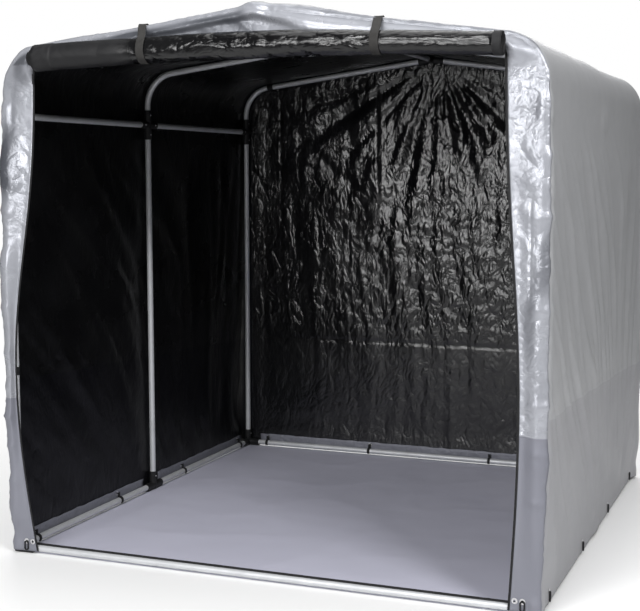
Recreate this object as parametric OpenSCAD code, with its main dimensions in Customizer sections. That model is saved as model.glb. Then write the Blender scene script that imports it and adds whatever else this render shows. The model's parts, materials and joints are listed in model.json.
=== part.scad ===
// Walk-in bicycle shelter: a tube frame with socket joints under a sewn sheet cover.
// The front door is rolled up under the gable and held there by two webbing straps.
// Millimetres, +Z up, front towards -Y, origin on the ground in the middle of the frame.

/* [Frame] */
// Post centre to post centre, across the front
frame_w = 1970; // [1400:10:2600]
// Front hoop to rear hoop, centre to centre
frame_d = 1990; // [1400:10:3000]
// Height of the ridge rail's centre line
ridge_h = 1960; // [1800:10:2400]
// Slope of the rafters in degrees
roof_pitch = 7.7; // [4:0.1:12]
// Centre-line radius of the bend in each rafter
bend_r = 142; // [110:2:180]
// Straight left between the eave joint and the bend
bend_gap = 17; // [2:1:60]
// Outside diameter of the frame tubes
tube_d = 25; // [20:1:32]
// Wall of the frame tubes
tube_wall = 1; // [0.8:0.1:2]

/* [Joints] */
// Wall of the moulded sockets
joint_wall = 3; // [2:0.5:5]
// Joint centre to socket mouth
socket_reach = 63; // [55:1:80]
// Depth of a tube in its socket
plug_depth = 40; // [25:1:40]
// Play round a tube in its socket
socket_play = 0.15; // [0.1:0.05:0.3]
// Thickness of the pad under each foot, below the sockets
sole_t = 1; // [0.5:0.5:4]
// Width of the pad under each foot
sole_w = 26; // [16:1:30]

/* [Cover] */
// Thickness of the sheets
sheet_t = 2; // [1:0.5:4]
// Room between the joints and the sheet that lies over them
cover_gap = 0.3; // [0.2:0.1:1]
// Height of the walls' lower edge above the ground
hem_z = 10; // [6:1:16]
// Height of the hem that is turned up inside the walls
hem_h = 52; // [44:1:90]
// Room between a hem and the socket mouths
hem_gap = 2; // [1:1:10]
// Thickness of the ground sheet
floor_t = 2; // [1:0.5:4]

/* [Door] */
// Post centre to the door's edge, at the hem
flap_w = 84; // [82:1:120]
// Post centre to the door's edge, under the gable
flap_top_w = 118; // [100:1:160]
// Height of the gable's lower edge above the start of the bends
gable_rise = 95; // [60:1:110]
// How far the left flap is drawn back where it is narrowest
left_bow = 88; // [10:1:96]
// How far the right flap is drawn back where it is narrowest
right_bow = 35; // [10:1:96]
// Height of those places as a share of the door's height
bow_at = 0.4; // [0.3:0.05:0.6]
// Width of the zip tapes
zip_w = 9; // [5:1:14]
// Thickness of the zip tapes
zip_t = 4; // [2:0.5:6]
// Radius of the rolled door at its left end
roll_left_r = 50; // [40:1:60]
// Radius of the rolled door at its right end
roll_right_r = 38; // [30:1:60]
// Room between the roll's ends and the door's edges
roll_inset = 15; // [0:5:150]
// How far the roll hangs to the right of the middle
roll_shift = 18; // [-30:1:30]
// Height of the roll's centre line above the gable's lower edge
roll_rise = 26; // [10:1:40]
// Step between the layers that show in the ends of the roll
roll_layer = 9; // [6:1:12]
// Depth of the grooves between those layers
roll_groove = 3; // [1:0.5:6]
// Distance of each door strap from its end of the roll
strap_inset = 427; // [200:1:440]
// Width of the door straps
strap_w = 32; // [20:1:50]
// Thickness of the door straps
strap_t = 1.5; // [1:0.5:3]

/* [Ties] */
// Height of the eyelets above the ground
eyelet_h = 47; // [46:1:50]
// Bore of the eyelets
eyelet_bore = 9; // [8:0.5:10]
// Outside diameter of the eyelets' shanks
eyelet_shank = 12; // [11:0.5:13]
// Outside diameter of the eyelets' flanges
eyelet_flange = 20; // [16:1:22]
// Thickness of the eyelets' flanges
flange_t = 1; // [0.5:0.25:1.5]
// Distance of the end ties from the front and rear hoops
tie_end = 110; // [90:5:200]
// Distance of the inner ties from the front and rear hoops
tie_inner = 710; // [300:10:800]
// Distance of the inner rear ties from the middle
tie_back = 312; // [100:2:500]
// Distance of the tied front eyelets from the posts
tie_front = 42; // [40:1:44]
// Distance of the spare front eyelets from the posts
spare_front = 68; // [66:1:70]
// Diameter of the elastic cord
cord_d = 5; // [3:0.5:6]
// Width of the cord's loop outside the cover, middle to middle
loop_w = 14; // [10:1:20]
// Length of the cord's loop below its eyelet
loop_l = 32; // [26:1:36]
// Thickness of the hooks over the base rails
hook_t = 4; // [2:0.5:5]
// Width of the hooks
hook_w = 12; // [8:1:16]
// Height of the bands on the front posts
band_h = 670; // [300:10:1200]
// Length of the bands that tie the cover to the frame
band_l = 30; // [15:1:50]
// Thickness of those bands
band_t = 2; // [1:0.5:2.5]

/* [Hidden] */
$fn = 96;

// Overrun of cuts, the seat between pieces that meet on round faces, and how far the straight runs of
// sheets, tubes and cords are tucked into their bends
cut = 1;
seat = 0.3;
tuck = 0.01;
tube_tuck = 0.06;
tube_r = tube_d / 2;
bore_d = tube_d + 2 * socket_play;
joint_d = bore_d + 2 * joint_wall;
joint_r = joint_d / 2;
plug_start = socket_reach - plug_depth;
half_w = frame_w / 2;
half_d = frame_d / 2;
hoop_ys = [-half_d, 0, half_d];
// Start of the rafters' bends, the eave rails below it and the base rails above the ground
bend_x = half_w - bend_r;
bend_end_x = bend_x + bend_r * sin(roof_pitch);
bend_z = ridge_h - bend_r * cos(roof_pitch) - bend_end_x * tan(roof_pitch);
eave_h = bend_z - bend_gap - socket_reach;
base_h = floor_t + sole_t + joint_r;
rafter_l = bend_end_x / cos(roof_pitch) - plug_start;
// Inner and outer faces of the cover, measured from the tubes' centre lines
cover_in = joint_r + cover_gap;
cover_out = cover_in + sheet_t;
cover_half_w = half_w + cover_out;
cover_half_d = half_d + cover_out;
inside_half_d = half_d + cover_in;
apex_h = ridge_h + cover_out / cos(roof_pitch);
// Door opening, and the steps that draw its edges
door_top = bend_z + gable_rise;
flap_h = door_top - hem_z;
bow_steps = 40;
// The roll stands off the gable by one strap and a seat on each side of it
roll_h = door_top + roll_rise;
roll_l = frame_w - 2 * (flap_top_w + roll_inset);
strap_x = roll_l / 2 - strap_inset;
roll_y = -cover_half_d - strap_t - 2 * seat - max(roll_left_r, roll_right_r);
hem_face = cover_in - sheet_t;
tie_ys = [-half_d + tie_end, -half_d + tie_inner, half_d - tie_inner, half_d - tie_end];
tie_back_end = half_w - tie_end;
tie_xs = [-tie_back_end, -tie_back, tie_back, tie_back_end];

// Radius of the roll at a place along it, measured from the roll's middle
function roll_r_at(x) =
    roll_left_r + (roll_right_r - roll_left_r) * (x + roll_l / 2) / roll_l;
// Edge of the door opening at a share of its height, drawn back by a given bow
function bow_share(share) = share < bow_at
    ? sin(90 * share / bow_at)
    : pow(cos(90 * (share - bow_at) / (1 - bow_at)), 3);
function door_edge(share, bow) = half_w - flap_w - (flap_top_w - flap_w) * share + bow * bow_share(share);
function door_z(share) = hem_z + flap_h * share;

// Direction helpers: a shape drawn along +Z is laid along +X or +Y
module along_x() rotate([0, 90, 0]) children();
module along_y() rotate([-90, 0, 0]) children();
// A flat outline drawn in X and Z, thickened towards the back from a given Y
module upright(y, t) translate([0, y + t, 0]) rotate([90, 0, 0]) linear_extrude(t) children();
module on_side(side) mirror([side < 0 ? 1 : 0, 0, 0]) children();

// Frame tubes
module tube(l) linear_extrude(l) difference() {
    circle(tube_r);
    circle(tube_r - tube_wall);
}
// The run of a rafter as a solid rod: leg, bend and slope, drawn longer at both ends by a given overrun
module bent_rod(r, over) {
    leg = bend_z - eave_h - plug_start;
    translate([half_w, 0, bend_z - leg - over]) cylinder(r = r - tube_tuck, h = leg + over + cut);
    translate([bend_x, 0, bend_z]) rotate([90, 0, 0])
        rotate_extrude(angle = 90 - roof_pitch) translate([bend_r, 0]) circle(r);
    translate([bend_end_x, 0, bend_z + bend_r * cos(roof_pitch)]) rotate([0, roof_pitch - 90, 0])
        translate([0, 0, -cut]) cylinder(r = r - tube_tuck, h = rafter_l + over + cut);
}

module post(side, y) color("lightgray")
    translate([side * half_w, y, base_h + plug_start])
        tube(eave_h - base_h - 2 * plug_start);

module rafter(side, y) color("lightgray") on_side(side) translate([0, y, 0]) difference() {
    bent_rod(tube_r, 0);
    bent_rod(tube_r - tube_wall, cut);
}

// Rails between neighbouring hoops, one tube to a bay
module bay_rails(x, z) color("lightgray")
    for (i = [0:1]) translate([x, hoop_ys[i] + plug_start, z])
        along_y() tube(half_d - 2 * plug_start);
module cross_rail(y) color("lightgray")
    translate([plug_start - half_w, y, base_h]) along_x() tube(frame_w - 2 * plug_start);

// Socket joints: each turn points one socket away from the joint's centre
module joint(turns) difference() {
    union() {
        for (t = turns) rotate(t) translate([0, 0, -joint_r])
            cylinder(r = joint_r, h = socket_reach + joint_r);
        children();
    }
    for (t = turns) rotate(t) translate([0, 0, plug_start]) cylinder(d = bore_d, h = plug_depth + cut);
}
up = [0, 0, 0];
down = [180, 0, 0];
right = [0, 90, 0];
back = [-90, 0, 0];
front = [90, 0, 0];
bay_turns = [[back], [back, front], [front]];

module eave_joints(side) color("black") on_side(side)
    for (i = [0:2]) translate([half_w, hoop_ys[i], eave_h])
        joint(concat([up, down], bay_turns[i]));

module ridge_joints() color("black")
    for (i = [0:2]) translate([0, hoop_ys[i], ridge_h])
        joint(concat([[0, 90 + roof_pitch, 0], [0, -90 - roof_pitch, 0]], bay_turns[i]));

// A foot's pad lies under its socket towards the next post, or under both rails at mid side
module sole(i) translate([0, 0, -joint_r - sole_t]) {
    reach = socket_reach + joint_r;
    if (i == 1) translate([-sole_w / 2, -socket_reach, 0]) cube([sole_w, 2 * socket_reach, joint_r]);
    else translate([-socket_reach, -sole_w / 2, 0]) cube([reach, sole_w, joint_r]);
}
module feet(side) color("black") on_side(side)
    for (i = [0:2]) translate([half_w, hoop_ys[i], base_h])
        joint(concat([up], bay_turns[i], i == 1 ? [] : [-right])) sole(i);

// Cover outlines in X and Z: the arch that lies a given way outside the tubes' centre lines,
// from a given height up, with its straight runs tucked a hair under the round of the bends
module arch_outline(away, low) {
    r = bend_r + away;
    run = away - tuck;
    slope = [bend_x + (bend_r + run) * sin(roof_pitch), bend_z + (bend_r + run) * cos(roof_pitch)];
    translate([-half_w - run, low]) square([2 * (half_w + run), bend_z - low]);
    for (side = [-1, 1]) translate([side * bend_x, bend_z]) circle(r);
    polygon([
        [bend_x, bend_z], slope, [0, ridge_h + run / cos(roof_pitch)],
        [-slope[0], slope[1]], [-bend_x, bend_z]
    ]);
}
// Half of the door opening, from below the hem to above the gable's lower edge
module door_outline(bow) polygon(concat(
    [[0, hem_z - cut], [door_edge(0, bow), hem_z - cut]],
    [for (i = [0:bow_steps]) [door_edge(i / bow_steps, bow), door_z(i / bow_steps)]],
    [[door_edge(1, bow), door_top + cut], [0, door_top + cut]]
));
// A block wider and deeper than the cover, from one height up to another, for trimming
module trim_block(x_from, z_from, z_to)
    translate([x_from, -frame_d, z_from]) cube([2 * frame_w, 2 * frame_d, z_to - z_from]);

module roof(side) color("silver") on_side(side) difference() {
    upright(-inside_half_d, 2 * inside_half_d) arch_outline(cover_out, hem_z);
    upright(-inside_half_d - cut, 2 * (inside_half_d + cut)) arch_outline(cover_in, hem_z - cut);
    trim_block(-2 * frame_w, 0, apex_h + cut);
    trim_block(-frame_w, 0, bend_z);
}

module wall(side) color("darkgray") on_side(side) difference() {
    translate([half_w + cover_in, -inside_half_d, hem_z])
        cube([sheet_t, 2 * inside_half_d, bend_z - hem_z]);
    for (y = tie_ys) translate([half_w, y, eyelet_h]) along_x()
        cylinder(d = eyelet_shank, h = cover_out + cut);
}
module back_wall() color("darkgray") difference() {
    upright(inside_half_d, sheet_t) arch_outline(cover_out, hem_z);
    for (x = tie_xs) translate([x, half_d, eyelet_h]) along_y()
        cylinder(d = eyelet_shank, h = cover_out + cut);
}
module front_gable() color("silver") difference() {
    upright(-cover_half_d, sheet_t) arch_outline(cover_out, hem_z);
    trim_block(-frame_w, 0, door_top);
}
module front_flap(side, bow) color("silver") on_side(side) difference() {
    upright(-cover_half_d, sheet_t) arch_outline(cover_out, hem_z);
    trim_block(-frame_w, door_top, apex_h + cut);
    trim_block(-2 * frame_w, 0, door_top + cut);
    upright(-cover_half_d - cut, sheet_t + 2 * cut) door_outline(bow);
    for (d = [tie_front, spare_front])
        translate([half_w - d, -cover_half_d - cut, eyelet_h]) along_y()
            cylinder(d = eyelet_shank, h = cover_out);
}

// Hems turned up inside the walls, clear of the sockets
module side_hem(side) color("silver") on_side(side) difference() {
    for (i = [0:1]) translate([half_w + hem_face, hoop_ys[i] + socket_reach + hem_gap, hem_z])
        cube([sheet_t, half_d - 2 * (socket_reach + hem_gap), hem_h]);
    for (y = tie_ys) translate([half_w, y, eyelet_h]) along_x()
        cylinder(d = eyelet_shank, h = cover_out);
}
module back_hem() color("silver") difference() {
    l = frame_w - 2 * (socket_reach + hem_gap);
    translate([-l / 2, half_d + hem_face, hem_z]) cube([l, sheet_t, hem_h]);
    for (x = tie_xs) translate([x, half_d, eyelet_h]) along_y()
        cylinder(d = eyelet_shank, h = cover_out);
}
module floor_sheet() color("thistle")
    translate([-half_w - joint_r, -half_d - joint_r, 0])
        cube([frame_w + joint_d, frame_d + joint_d, floor_t]);

// Door: the roll tapers to the right, with its layers showing as grooves in both ends
module roll_grooves(r) for (g = [roll_layer:roll_layer:r - roll_layer])
    translate([g, 0]) square([roll_layer / 3, 2 * roll_groove], center = true);
module rolled_door() color("dimgray") translate([roll_shift - roll_l / 2, roll_y, roll_h]) along_x()
    rotate_extrude() difference() {
        polygon([[0, 0], [roll_left_r, 0], [roll_right_r, roll_l], [0, roll_l]]);
        roll_grooves(roll_left_r);
        translate([0, roll_l]) roll_grooves(roll_right_r);
    }

// A strap hangs from the roof's edge down the gable and takes the roll in its loop
module door_strap(side) color("gray") translate([roll_shift + side * strap_x - strap_w / 2, 0, 0]) {
    loop_r = max(roll_r_at(side * strap_x - strap_w / 2), roll_r_at(side * strap_x + strap_w / 2)) + seat;
    top = apex_h - (abs(roll_shift + side * strap_x) + strap_w / 2) * tan(roof_pitch);
    translate([0, roll_y, roll_h]) along_x() linear_extrude(strap_w) difference() {
        circle(loop_r + strap_t);
        circle(loop_r);
    }
    reach = -cover_half_d - roll_y;
    translate([0, -cover_half_d - strap_t, roll_h]) cube([strap_w, strap_t, top - roll_h]);
    translate([0, -cover_half_d - reach + loop_r, roll_h]) cube([strap_w, reach - loop_r, strap_t]);
}

// Zip tapes round the door opening
zip_y = -cover_half_d - (zip_t - sheet_t) / 2;
module door_zip(side, bow) color("black") on_side(side) upright(zip_y, zip_t) polygon(concat(
    [for (i = [0:bow_steps]) [door_edge(i / bow_steps, bow), door_z(i / bow_steps)]],
    [for (i = [bow_steps:-1:0]) [door_edge(i / bow_steps, bow) - zip_w, door_z(i / bow_steps)]]
));
module sill_zip() color("black") {
    l = frame_w - 2 * (socket_reach + hem_gap);
    translate([-l / 2, -half_d - zip_t / 2, base_h + tube_r]) cube([l, zip_t, zip_w]);
}

// Ties: an eyelet is drawn along +Z from the outer face of the cover inwards
module eyelet(stack) rotate_extrude() polygon([
    [eyelet_bore / 2, -flange_t], [eyelet_flange / 2, -flange_t], [eyelet_flange / 2, 0],
    [eyelet_shank / 2, 0], [eyelet_shank / 2, stack], [eyelet_flange / 2, stack],
    [eyelet_flange / 2, stack + flange_t], [eyelet_bore / 2, stack + flange_t]
]);
// Tie places: the frame turned so that +X leads out through the cover at each one
module at_side_ties() for (side = [-1, 1]) on_side(side)
    for (y = tie_ys) translate([half_w, y, 0]) children();
module at_back_ties() for (x = tie_xs) translate([x, half_d, 0]) rotate([0, 0, 90]) children();
module at_front(d) for (side = [-1, 1])
    translate([side * (half_w - d), -half_d, 0]) rotate([0, 0, -90]) children();

module hem_eyelets() color("silver") {
    at_side_ties() translate([cover_out, 0, eyelet_h]) rotate([0, -90, 0]) eyelet(2 * sheet_t);
    at_back_ties() translate([cover_out, 0, eyelet_h]) rotate([0, -90, 0]) eyelet(2 * sheet_t);
    for (d = [tie_front, spare_front])
        at_front(d) translate([cover_out, 0, eyelet_h]) rotate([0, -90, 0]) eyelet(sheet_t);
}
// A long cord loop hung outside the cover, with its tail running in through the eyelet
module cord_loop(inner_end) {
    loop_x = cover_out + flange_t + seat + cord_d / 2;
    loop_r = loop_w / 2;
    run = loop_l - loop_w;
    translate([loop_x, 0, eyelet_h - loop_r]) {
        for (end = [0, 1]) translate([0, 0, -run * end]) rotate([180 * end, 0, 0]) rotate([90, 0, 90])
            rotate_extrude(angle = 180) translate([loop_r, 0]) circle(d = cord_d, $fn = 32);
        for (y = [-loop_r, loop_r]) translate([0, y, -run - seat])
            cylinder(r = cord_d / 2 - tube_tuck, h = run + 2 * seat, $fn = 32);
    }
    translate([inner_end, 0, eyelet_h]) along_x()
        cylinder(d = cord_d - seat, h = loop_x - inner_end, $fn = 32);
}
// A hook clipped over the base rail, with a tab up to the eyelet
module rail_hook() {
    tab_x = hook_t / 4;
    translate([0, hook_w / 2, 0]) rotate([90, 0, 0]) linear_extrude(hook_w) {
        translate([0, base_h]) difference() {
            circle(tube_r + seat + hook_t);
            circle(tube_r + seat);
            polygon([
                [0, 0], [-tube_d, -tube_d], [tube_d, -tube_d * 2], [tube_d * 2, tube_d], [tube_r / 2, tube_d]
            ]);
        }
        translate([tab_x, base_h + tube_r + hook_t / 2])
            square([hook_t, eyelet_h + cord_d - base_h - tube_r - hook_t / 2]);
    }
}
module hem_ties() color("black") {
    at_side_ties() {
        rail_hook();
        cord_loop(hook_t);
    }
    at_back_ties() {
        rail_hook();
        cord_loop(hook_t);
    }
    at_front(tie_front) {
        knot_x = cover_in - flange_t - seat - eyelet_shank / 2;
        cord_loop(knot_x);
        translate([knot_x, 0, eyelet_h]) along_x() sphere(d = eyelet_shank);
    }
}
// Bands round the front posts, and round the rear rafters next to their bends
module band() difference() {
    cylinder(r = tube_r + socket_play + band_t, h = band_l);
    translate([0, 0, -cut]) cylinder(r = tube_r + socket_play, h = band_l + 2 * cut);
}
module cover_bands() color("black") for (side = [-1, 1]) on_side(side) {
    translate([half_w, -half_d, band_h]) band();
    translate([bend_end_x, half_d, bend_z + bend_r * cos(roof_pitch)])
        rotate([0, roof_pitch - 90, 0]) band();
}

post(-1, hoop_ys[0]);  // front_left_post
post(1, hoop_ys[0]);  // front_right_post
post(-1, hoop_ys[1]);  // middle_left_post
post(1, hoop_ys[1]);  // middle_right_post
post(-1, hoop_ys[2]);  // rear_left_post
post(1, hoop_ys[2]);  // rear_right_post
rafter(-1, hoop_ys[0]);  // front_left_rafter
rafter(1, hoop_ys[0]);  // front_right_rafter
rafter(-1, hoop_ys[1]);  // middle_left_rafter
rafter(1, hoop_ys[1]);  // middle_right_rafter
rafter(-1, hoop_ys[2]);  // rear_left_rafter
rafter(1, hoop_ys[2]);  // rear_right_rafter
eave_joints(-1);  // left_eave_joints
eave_joints(1);  // right_eave_joints
ridge_joints();
feet(-1);  // left_feet
feet(1);  // right_feet
bay_rails(-half_w, eave_h);  // left_eave_rails
bay_rails(half_w, eave_h);  // right_eave_rails
bay_rails(0, ridge_h);  // ridge_rails
cross_rail(-half_d);  // front_sill
cross_rail(half_d);  // back_base_rail
bay_rails(-half_w, base_h);  // left_base_rails
bay_rails(half_w, base_h);  // right_base_rails
wall(-1);  // left_wall
wall(1);  // right_wall
back_wall();
roof(-1);  // left_roof
roof(1);  // right_roof
front_gable();
front_flap(-1, left_bow);  // left_front_flap
front_flap(1, right_bow);  // right_front_flap
floor_sheet();
side_hem(-1);  // left_hem
side_hem(1);  // right_hem
back_hem();
rolled_door();
door_strap(-1);  // left_door_strap
door_strap(1);  // right_door_strap
door_zip(-1, left_bow);  // left_zip
door_zip(1, right_bow);  // right_zip
sill_zip();
hem_eyelets();
hem_ties();
cover_bands();
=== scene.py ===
import json
from math import acos, atan2, copysign, cos, exp, hypot, pi, radians, sin, sqrt, tan
import bmesh
import bpy
from mathutils import Matrix, Vector, noise


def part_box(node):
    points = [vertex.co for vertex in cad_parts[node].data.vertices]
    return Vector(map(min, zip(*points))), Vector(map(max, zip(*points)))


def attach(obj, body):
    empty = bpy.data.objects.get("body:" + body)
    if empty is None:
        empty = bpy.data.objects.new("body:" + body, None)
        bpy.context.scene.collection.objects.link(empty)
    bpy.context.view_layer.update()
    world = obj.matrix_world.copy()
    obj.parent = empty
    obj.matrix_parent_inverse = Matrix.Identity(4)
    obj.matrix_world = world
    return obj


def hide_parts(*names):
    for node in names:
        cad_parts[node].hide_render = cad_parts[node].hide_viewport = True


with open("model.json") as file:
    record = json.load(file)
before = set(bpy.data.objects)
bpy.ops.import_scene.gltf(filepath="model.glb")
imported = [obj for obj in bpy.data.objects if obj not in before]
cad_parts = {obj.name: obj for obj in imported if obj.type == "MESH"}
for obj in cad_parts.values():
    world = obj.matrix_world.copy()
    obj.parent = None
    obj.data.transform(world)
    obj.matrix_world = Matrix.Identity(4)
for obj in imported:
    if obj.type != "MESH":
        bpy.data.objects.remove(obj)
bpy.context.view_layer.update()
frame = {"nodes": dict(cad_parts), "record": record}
nodes = frame["nodes"]
scene = bpy.context.scene
print("frame loaded:", len(nodes), "nodes")

# hoop sizes in metres, as the frame was drawn; sheetOut is from a hoop's line to the sheet over it
postLow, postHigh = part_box("front_right_post")
halfW, halfD, sheetOut = (postLow.x + postHigh.x) / 2, -(postLow.y + postHigh.y) / 2, 0.0170
bendR, bendX, bendZ = 0.142, 0.843, 1.70273
ridgeZ, eaveZ, hemZ, roofPitch = 1.960, 1.6227, 0.010, radians(7.7)
door = {"top": 1.7977, "foot": 0.084, "head": 0.118, "leftBow": 0.088, "rightBow": 0.035, "bowAt": 0.4}
cloth = {"thick": 0.0009, "eyeletZ": 0.047, "hole": 0.0053, "near": 0.04}


def clamp(v, low=0.0, high=1.0):
    return max(low, min(high, v))


def ease(a, b, v):
    t = clamp((v - a) / (b - a))
    return t * t * (3 - 2 * t)


def fade(a, b, v):
    return 1 - ease(a, b, v)


def wave(x, y, z=0.0):
    return noise.noise(Vector((x, y, z)))  # about -1 to 1


def crease(x, y, z=0.0, sharp=2.0):
    return (1 - abs(wave(x, y, z))) ** sharp  # narrow crests near 1


def bell(v, width):
    return exp(-(v / width) ** 2)


def spread(stops):
    # values along a piece: each stop is (end value, steps from the one before)
    out = [stops[0][0]]
    for end, steps in stops[1:]:
        start = out[-1]
        out += [start + (end - start) * (k + 1) / steps for k in range(steps)]
    return out


# line of the hoops, measured from the ridge: negative on the left, positive on the right
slopeL = (bendX + bendR * sin(roofPitch)) / cos(roofPitch)
bendL = bendR * (pi / 2 - roofPitch)
roofL = slopeL + bendL
archL = roofL + bendZ - hemZ
frontY, rearY = -halfD - sheetOut, halfD + sheetOut


def archAt(s):
    side, t, p = (1 if s >= 0 else -1), abs(s), roofPitch
    if t < slopeL:
        tip = ease(0, 0.06, t)
        nx = sin(p) * tip
        return side * t * cos(p), ridgeZ - t * sin(p), side * nx, sqrt(1 - nx * nx)
    if t < roofL:
        a = pi / 2 - p - (t - slopeL) / bendR
        nx, nz = cos(a), sin(a)
        return side * (bendX + bendR * nx), bendZ + bendR * nz, side * nx, nz
    return side * halfW, bendZ - (t - roofL), side, 0.0


def doorEdge(z, side):
    share, at = clamp((z - hemZ) / (door["top"] - hemZ)), door["bowAt"]
    rising, falling = share / at, (share - at) / (1 - at)
    bow = sin(pi / 2 * rising) if share < at else cos(pi / 2 * falling) ** 3
    straight = halfW - door["foot"] - (door["head"] - door["foot"]) * share
    return straight + door["leftBow" if side < 0 else "rightBow"] * bow


def newPiece(name, bm, materials, replaced=()):
    mesh = bpy.data.meshes.new(name)
    bm.to_mesh(mesh)
    bm.free()
    piece = bpy.data.objects.new(name, mesh)
    scene.collection.objects.link(piece)
    for material in materials:
        mesh.materials.append(material)
    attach(piece, "root")
    if replaced:
        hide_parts(*replaced)
    return piece


def newSheet(across, along, place, facing, flatAt=None, busyAt=None, paintedShadeAt=None):
    # a flat grid, its flat size kept as a UV in metres, then moved point by point to where it hangs
    bm = bmesh.new()
    bmesh.ops.create_grid(bm, x_segments=len(across) - 1, y_segments=len(along) - 1, size=1)
    flat = bm.loops.layers.uv.new("flat")
    busy = bm.verts.layers.float.new("busy")  # how strongly the fine crumple shows
    # this attribute pulls the colour towards the deep colour: painted shade
    paintedShade = bm.verts.layers.float.new("paintedShade")  # how far the colour goes to the deep one
    spots = {}
    for v in bm.verts:
        a = across[round((v.co.x + 1) / 2 * (len(across) - 1))]
        b = along[round((v.co.y + 1) / 2 * (len(along) - 1))]
        spots[v] = flatAt(a, b) if flatAt else (a, b)
        v.co = place(a, b)
        v[busy] = busyAt(v.co) if busyAt else 1.0
        v[paintedShade] = paintedShadeAt(v.co) if paintedShadeAt else 0.0
    bm.normal_update()
    tilt = sum((f.normal.dot(facing(f.calc_center_median())) for f in bm.faces))
    if tilt < 0:
        bmesh.ops.reverse_faces(bm, faces=bm.faces[:])
    for f in bm.faces:
        f.smooth = True
        for loop in f.loops:
            loop[flat].uv = spots[loop.vert]
    return bm


def facesNear(bm, centre):
    return [f for f in bm.faces if (f.calc_center_median() - centre).length < cloth["near"]]


def cutHole(bm, centre, size, flatten):
    # a square hole under an eyelet's flange; flatten is the axis that runs through the eyelet
    axes = [Vector((1, 0, 0)), Vector((0, 1, 0)), Vector((0, 0, 1))]
    axes.pop(flatten)
    for axis in axes:
        for sign in (-1, 1):
            near = facesNear(bm, centre)
            parts = dict.fromkeys(near)
            for f in near:
                parts.update(dict.fromkeys([*f.edges, *f.verts]))
            edgeAt = centre + axis * sign * size
            bmesh.ops.bisect_plane(bm, geom=list(parts), dist=1e-6, plane_co=edgeAt, plane_no=axis)
    inside = [f for f in facesNear(bm, centre)
              if all(abs((f.calc_center_median() - centre).dot(axis)) < size for axis in axes)]
    bmesh.ops.delete(bm, geom=inside, context="FACES")


def thicken(piece, thickness, offset=-1.0, inner=0, rim=0):
    mod = piece.modifiers.new("thickness", "SOLIDIFY")
    mod.thickness = thickness
    mod.offset = offset
    mod.material_offset = inner
    mod.material_offset_rim = rim


def newGroup(name, output, **inputs):
    # a shader group with a Vector input and the inputs named; None stands for one more vector
    group = bpy.data.node_groups.new(name, "ShaderNodeTree")
    for label, value in {"Vector": None, **inputs}.items():
        kind = "NodeSocketVector" if value is None else "NodeSocketFloat"
        socket = group.interface.new_socket(name=label, in_out="INPUT", socket_type=kind)
        if value is not None:
            socket.default_value = value
    group.interface.new_socket(name=output, in_out="OUTPUT", socket_type="NodeSocketFloat")
    return group, group.nodes.new("NodeGroupInput").outputs, group.nodes.new("NodeGroupOutput").inputs[0]


def addNode(tree, kind, **settings):
    node = tree.nodes.new(kind)
    for key, value in settings.items():
        setattr(node, key, value)
    return node


def feed(tree, socket, value):
    if isinstance(value, bpy.types.NodeSocket):
        tree.links.new(value, socket)
    else:
        socket.default_value = value


def maths(tree, operation, *values, limit=False):
    node = addNode(tree, "ShaderNodeMath", operation=operation, use_clamp=limit)
    for socket, value in zip(node.inputs, values):
        feed(tree, socket, value)
    return node.outputs[0]


def blendColour(tree, share, a, b):
    node = addNode(tree, "ShaderNodeMix", data_type="RGBA")
    feed(tree, node.inputs[0], share)
    feed(tree, node.inputs[6], a)
    feed(tree, node.inputs[7], b)
    return node.outputs[2]


def vectorMaths(tree, operation, *values):
    node = addNode(tree, "ShaderNodeVectorMath", operation=operation)
    for socket, value in zip(node.inputs, values):
        feed(tree, socket, value)
    return node.outputs


def mapRange(tree, value, low, high, start=0.0, end=1.0, **settings):
    node = addNode(tree, "ShaderNodeMapRange", **settings)
    for socket, number in zip(node.inputs, (value, low, high, start, end)):
        feed(tree, socket, number)
    return node.outputs[0]


def noiseNode(tree, vector, scale, detail=2.0):
    node = addNode(tree, "ShaderNodeTexNoise")
    feed(tree, node.inputs["Vector"], vector)
    feed(tree, node.inputs["Scale"], scale)
    node.inputs["Detail"].default_value = detail
    return node


# crumpled film: sharp creases between soft bumps, at three sizes
crumple, given, result = newGroup("crumple", "Height", Scale=1.0)
sizedAt = vectorMaths(crumple, "MULTIPLY", given["Vector"], given["Scale"])[0]
drift = noiseNode(crumple, sizedAt, 11.0).outputs["Color"]
drifted = vectorMaths(crumple, "MULTIPLY_ADD", drift, (0.05, 0.05, 0.05), sizedAt)[0]
height = 0.0
for creaseScale, share in ((19.0, 1.5), (43.0, 0.8), (90.0, 0.3)):
    level = noiseNode(crumple, drifted, creaseScale, 0.0).outputs[0]
    fold = maths(crumple, "ABSOLUTE", maths(crumple, "SUBTRACT", level, 0.5))
    height = maths(crumple, "MULTIPLY_ADD", fold, share, height)
feed(crumple, result, height)

# the part of a sheet below a slanted line, as a mask
panels, given, result = newGroup("panels", "Mask", Way=None, Level=0.6, Soft=0.003)
rise = vectorMaths(panels, "DOT_PRODUCT", given["Vector"], given["Way"])["Value"]
below = maths(panels, "SUBTRACT", given["Level"], rise)
below = maths(panels, "DIVIDE", below, given["Soft"])
feed(panels, result, maths(panels, "ADD", below, 0.5, limit=True))

# fine scrim: two crossing thread directions
scrim, given, result = newGroup("scrim", "Height", Pitch=900.0)
threads = addNode(scrim, "ShaderNodeSeparateXYZ")
feed(scrim, threads.inputs[0], given["Vector"])
rows = [maths(scrim, "SINE", maths(scrim, "MULTIPLY", way, given["Pitch"])) for way in threads.outputs[:2]]
feed(scrim, result, maths(scrim, "MULTIPLY", *rows))

# dust and handling marks: a slow mask that lifts roughness and shifts colour a little
handling, given, result = newGroup("handling", "Mask", Scale=6.0)
slow = noiseNode(handling, given["Vector"], given["Scale"], 5.0).outputs[0]
feed(handling, result, mapRange(handling, slow, 0.35, 0.72))


def newMaterial(name):
    material = bpy.data.materials.new(name)
    material.use_nodes = True
    tree = material.node_tree
    return material, tree, tree.nodes["Principled BSDF"]


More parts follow.
